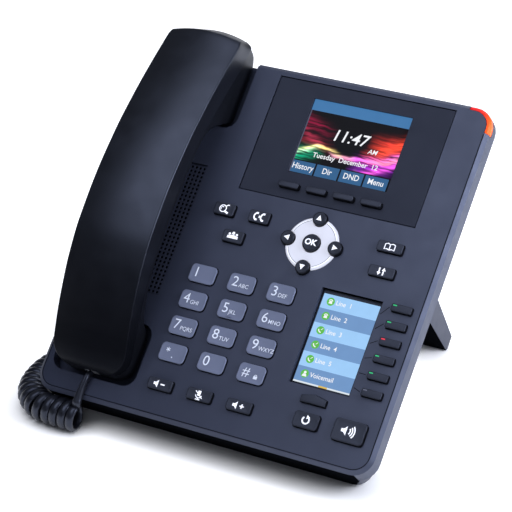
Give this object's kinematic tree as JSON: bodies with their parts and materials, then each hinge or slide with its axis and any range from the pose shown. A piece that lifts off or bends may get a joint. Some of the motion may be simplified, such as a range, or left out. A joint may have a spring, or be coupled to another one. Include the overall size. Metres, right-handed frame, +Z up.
{
  "type": "desk network telephone",
  "caption": "Corded desk phone with a sloping body on a folding stand, a curved handset on a curly cord, a colour display, a side display and rows of keys.",
  "frame": {"origin": "on the desk under the middle of the phone's box, measured without the cord", "axes": "+X to the user's right, +Y away from the user, +Z up; the front face slopes at 45 degrees and faces -Y and +Z"},
  "size_m": [0.2208, 0.2222, 0.1841],
  "materials": {
    "housing": "fine satin texture",
    "housing_back": "matt",
    "bezel": "fine satin texture",
    "screen": "glossy lit display",
    "side_screen": "glossy lit display",
    "nav_ring": "silver paint",
    "lamp": "translucent lens",
    "hook_switch": "matt",
    "stand": "matt",
    "circuit_board": "solder mask",
    "key_mat": "silicone",
    "loudspeaker": "satin",
    "jack_block": "matt",
    "handset": "satin",
    "handset_inner": "satin",
    "capsule": "satin",
    "dial_key": "satin",
    "function_key": "satin",
    "cord": "satin flexible sheath",
    "plug": "clear moulded"
  },
  "bodies": {
    "base": {"upper_housing": "housing", "lower_housing": "housing_back", "display_bezel": "bezel", "main_display": "screen", "side_display": "side_screen", "nav_ring": "nav_ring", "message_lamp": "lamp", "circuit_board": "circuit_board", "key_mat": "key_mat", "loudspeaker": "loudspeaker", "jack_block": "jack_block", "cord_coil": "cord", "cord_base_lead": "cord", "cord_base_plug": "plug"},
    "handset": {"handset_outer_shell": "handset", "handset_inner_shell": "handset_inner", "handset_receiver": "capsule", "handset_microphone": "capsule", "cord_handset_plug": "plug", "cord_handset_lead": "cord"},
    "hook_switch": {"hook_switch": "hook_switch"},
    "desk_stand": {"desk_stand": "stand"},
    "key_1": {"key_1": "dial_key"},
    "key_2": {"key_2": "dial_key"},
    "key_3": {"key_3": "dial_key"},
    "key_4": {"key_4": "dial_key"},
    "key_5": {"key_5": "dial_key"},
    "key_6": {"key_6": "dial_key"},
    "key_7": {"key_7": "dial_key"},
    "key_8": {"key_8": "dial_key"},
    "key_9": {"key_9": "dial_key"},
    "key_star": {"key_star": "dial_key"},
    "key_0": {"key_0": "dial_key"},
    "key_hash": {"key_hash": "dial_key"},
    "transfer_key": {"transfer_key": "function_key"},
    "hold_key": {"hold_key": "function_key"},
    "conference_key": {"conference_key": "function_key"},
    "phonebook_key": {"phonebook_key": "function_key"},
    "swap_key": {"swap_key": "function_key"},
    "volume_down_key": {"volume_down_key": "function_key"},
    "mute_key": {"mute_key": "function_key"},
    "volume_up_key": {"volume_up_key": "function_key"},
    "redial_key": {"redial_key": "function_key"},
    "speaker_key": {"speaker_key": "function_key"},
    "page_key": {"page_key": "function_key"},
    "line_key_1": {"line_key_1": "function_key"},
    "line_key_2": {"line_key_2": "function_key"},
    "line_key_3": {"line_key_3": "function_key"},
    "line_key_4": {"line_key_4": "function_key"},
    "line_key_5": {"line_key_5": "function_key"},
    "line_key_6": {"line_key_6": "function_key"},
    "softkey_1": {"softkey_1": "function_key"},
    "softkey_2": {"softkey_2": "function_key"},
    "softkey_3": {"softkey_3": "function_key"},
    "softkey_4": {"softkey_4": "function_key"},
    "nav_up": {"nav_up": "function_key"},
    "nav_down": {"nav_down": "function_key"},
    "nav_left": {"nav_left": "function_key"},
    "nav_right": {"nav_right": "function_key"},
    "ok_key": {"ok_key": "function_key"}
  },
  "joints": [
    {"name": "handset_lift", "type": "slide", "parent": "base", "child": "handset", "axis": [0, -0.7071, 0.7071], "range_m": [0, 0.09]},
    {"name": "hook_travel", "type": "slide", "parent": "base", "child": "hook_switch", "axis": [0, -0.7071, 0.7071], "range_m": [0, 0.003]},
    {"name": "stand_fold", "type": "hinge", "parent": "base", "child": "desk_stand", "pos_m": [-0.00325, 0.01933, 0.08139], "axis": [-1, 0, 0], "range_deg": [0, 84]},
    {"name": "key_1_travel", "type": "slide", "parent": "base", "child": "key_1", "axis": [0, 0.7071, -0.7071], "range_m": [0, 0.0012], "stiffness_N_per_m": 300, "springref_m": -0.003},
    {"name": "key_2_travel", "type": "slide", "parent": "base", "child": "key_2", "axis": [0, 0.7071, -0.7071], "range_m": [0, 0.0012], "stiffness_N_per_m": 300, "springref_m": -0.003},
    {"name": "key_3_travel", "type": "slide", "parent": "base", "child": "key_3", "axis": [0, 0.7071, -0.7071], "range_m": [0, 0.0012], "stiffness_N_per_m": 300, "springref_m": -0.003},
    {"name": "key_4_travel", "type": "slide", "parent": "base", "child": "key_4", "axis": [0, 0.7071, -0.7071], "range_m": [0, 0.0012], "stiffness_N_per_m": 300, "springref_m": -0.003},
    {"name": "key_5_travel", "type": "slide", "parent": "base", "child": "key_5", "axis": [0, 0.7071, -0.7071], "range_m": [0, 0.0012], "stiffness_N_per_m": 300, "springref_m": -0.003},
    {"name": "key_6_travel", "type": "slide", "parent": "base", "child": "key_6", "axis": [0, 0.7071, -0.7071], "range_m": [0, 0.0012], "stiffness_N_per_m": 300, "springref_m": -0.003},
    {"name": "key_7_travel", "type": "slide", "parent": "base", "child": "key_7", "axis": [0, 0.7071, -0.7071], "range_m": [0, 0.0012], "stiffness_N_per_m": 300, "springref_m": -0.003},
    {"name": "key_8_travel", "type": "slide", "parent": "base", "child": "key_8", "axis": [0, 0.7071, -0.7071], "range_m": [0, 0.0012], "stiffness_N_per_m": 300, "springref_m": -0.003},
    {"name": "key_9_travel", "type": "slide", "parent": "base", "child": "key_9", "axis": [0, 0.7071, -0.7071], "range_m": [0, 0.0012], "stiffness_N_per_m": 300, "springref_m": -0.003},
    {"name": "key_star_travel", "type": "slide", "parent": "base", "child": "key_star", "axis": [0, 0.7071, -0.7071], "range_m": [0, 0.0012], "stiffness_N_per_m": 300, "springref_m": -0.003},
    {"name": "key_0_travel", "type": "slide", "parent": "base", "child": "key_0", "axis": [0, 0.7071, -0.7071], "range_m": [0, 0.0012], "stiffness_N_per_m": 300, "springref_m": -0.003},
    {"name": "key_hash_travel", "type": "slide", "parent": "base", "child": "key_hash", "axis": [0, 0.7071, -0.7071], "range_m": [0, 0.0012], "stiffness_N_per_m": 300, "springref_m": -0.003},
    {"name": "transfer_key_travel", "type": "slide", "parent": "base", "child": "transfer_key", "axis": [0, 0.7071, -0.7071], "range_m": [0, 0.0012], "stiffness_N_per_m": 300, "springref_m": -0.003},
    {"name": "hold_key_travel", "type": "slide", "parent": "base", "child": "hold_key", "axis": [0, 0.7071, -0.7071], "range_m": [0, 0.0012], "stiffness_N_per_m": 300, "springref_m": -0.003},
    {"name": "conference_key_travel", "type": "slide", "parent": "base", "child": "conference_key", "axis": [0, 0.7071, -0.7071], "range_m": [0, 0.0012], "stiffness_N_per_m": 300, "springref_m": -0.003},
    {"name": "phonebook_key_travel", "type": "slide", "parent": "base", "child": "phonebook_key", "axis": [0, 0.7071, -0.7071], "range_m": [0, 0.0012], "stiffness_N_per_m": 300, "springref_m": -0.003},
    {"name": "swap_key_travel", "type": "slide", "parent": "base", "child": "swap_key", "axis": [0, 0.7071, -0.7071], "range_m": [0, 0.0012], "stiffness_N_per_m": 300, "springref_m": -0.003},
    {"name": "volume_down_key_travel", "type": "slide", "parent": "base", "child": "volume_down_key", "axis": [0, 0.7071, -0.7071], "range_m": [0, 0.0012], "stiffness_N_per_m": 300, "springref_m": -0.003},
    {"name": "mute_key_travel", "type": "slide", "parent": "base", "child": "mute_key", "axis": [0, 0.7071, -0.7071], "range_m": [0, 0.0012], "stiffness_N_per_m": 300, "springref_m": -0.003},
    {"name": "volume_up_key_travel", "type": "slide", "parent": "base", "child": "volume_up_key", "axis": [0, 0.7071, -0.7071], "range_m": [0, 0.0012], "stiffness_N_per_m": 300, "springref_m": -0.003},
    {"name": "redial_key_travel", "type": "slide", "parent": "base", "child": "redial_key", "axis": [0, 0.7071, -0.7071], "range_m": [0, 0.0012], "stiffness_N_per_m": 300, "springref_m": -0.003},
    {"name": "speaker_key_travel", "type": "slide", "parent": "base", "child": "speaker_key", "axis": [0, 0.7071, -0.7071], "range_m": [0, 0.0012], "stiffness_N_per_m": 300, "springref_m": -0.003},
    {"name": "page_key_travel", "type": "slide", "parent": "base", "child": "page_key", "axis": [0, 0.7071, -0.7071], "range_m": [0, 0.0012], "stiffness_N_per_m": 300, "springref_m": -0.003},
    {"name": "line_key_1_travel", "type": "slide", "parent": "base", "child": "line_key_1", "axis": [0, 0.7071, -0.7071], "range_m": [0, 0.0012], "stiffness_N_per_m": 300, "springref_m": -0.003},
    {"name": "line_key_2_travel", "type": "slide", "parent": "base", "child": "line_key_2", "axis": [0, 0.7071, -0.7071], "range_m": [0, 0.0012], "stiffness_N_per_m": 300, "springref_m": -0.003},
    {"name": "line_key_3_travel", "type": "slide", "parent": "base", "child": "line_key_3", "axis": [0, 0.7071, -0.7071], "range_m": [0, 0.0012], "stiffness_N_per_m": 300, "springref_m": -0.003},
    {"name": "line_key_4_travel", "type": "slide", "parent": "base", "child": "line_key_4", "axis": [0, 0.7071, -0.7071], "range_m": [0, 0.0012], "stiffness_N_per_m": 300, "springref_m": -0.003},
    {"name": "line_key_5_travel", "type": "slide", "parent": "base", "child": "line_key_5", "axis": [0, 0.7071, -0.7071], "range_m": [0, 0.0012], "stiffness_N_per_m": 300, "springref_m": -0.003},
    {"name": "line_key_6_travel", "type": "slide", "parent": "base", "child": "line_key_6", "axis": [0, 0.7071, -0.7071], "range_m": [0, 0.0012], "stiffness_N_per_m": 300, "springref_m": -0.003},
    {"name": "softkey_1_travel", "type": "slide", "parent": "base", "child": "softkey_1", "axis": [0, 0.7071, -0.7071], "range_m": [0, 0.0012], "stiffness_N_per_m": 300, "springref_m": -0.003},
    {"name": "softkey_2_travel", "type": "slide", "parent": "base", "child": "softkey_2", "axis": [0, 0.7071, -0.7071], "range_m": [0, 0.0012], "stiffness_N_per_m": 300, "springref_m": -0.003},
    {"name": "softkey_3_travel", "type": "slide", "parent": "base", "child": "softkey_3", "axis": [0, 0.7071, -0.7071], "range_m": [0, 0.0012], "stiffness_N_per_m": 300, "springref_m": -0.003},
    {"name": "softkey_4_travel", "type": "slide", "parent": "base", "child": "softkey_4", "axis": [0, 0.7071, -0.7071], "range_m": [0, 0.0012], "stiffness_N_per_m": 300, "springref_m": -0.003},
    {"name": "nav_up_travel", "type": "slide", "parent": "base", "child": "nav_up", "axis": [0, 0.7071, -0.7071], "range_m": [0, 0.0012], "stiffness_N_per_m": 300, "springref_m": -0.003},
    {"name": "nav_down_travel", "type": "slide", "parent": "base", "child": "nav_down", "axis": [0, 0.7071, -0.7071], "range_m": [0, 0.0012], "stiffness_N_per_m": 300, "springref_m": -0.003},
    {"name": "nav_left_travel", "type": "slide", "parent": "base", "child": "nav_left", "axis": [0, 0.7071, -0.7071], "range_m": [0, 0.0012], "stiffness_N_per_m": 300, "springref_m": -0.003},
    {"name": "nav_right_travel", "type": "slide", "parent": "base", "child": "nav_right", "axis": [0, 0.7071, -0.7071], "range_m": [0, 0.0012], "stiffness_N_per_m": 300, "springref_m": -0.003},
    {"name": "ok_key_travel", "type": "slide", "parent": "base", "child": "ok_key", "axis": [0, 0.7071, -0.7071], "range_m": [0, 0.0012], "stiffness_N_per_m": 300, "springref_m": -0.003}
  ],
  "couplings": [
    {"joint": "hook_travel", "follows": "handset_lift", "ratio": 0.0333}
  ]
}
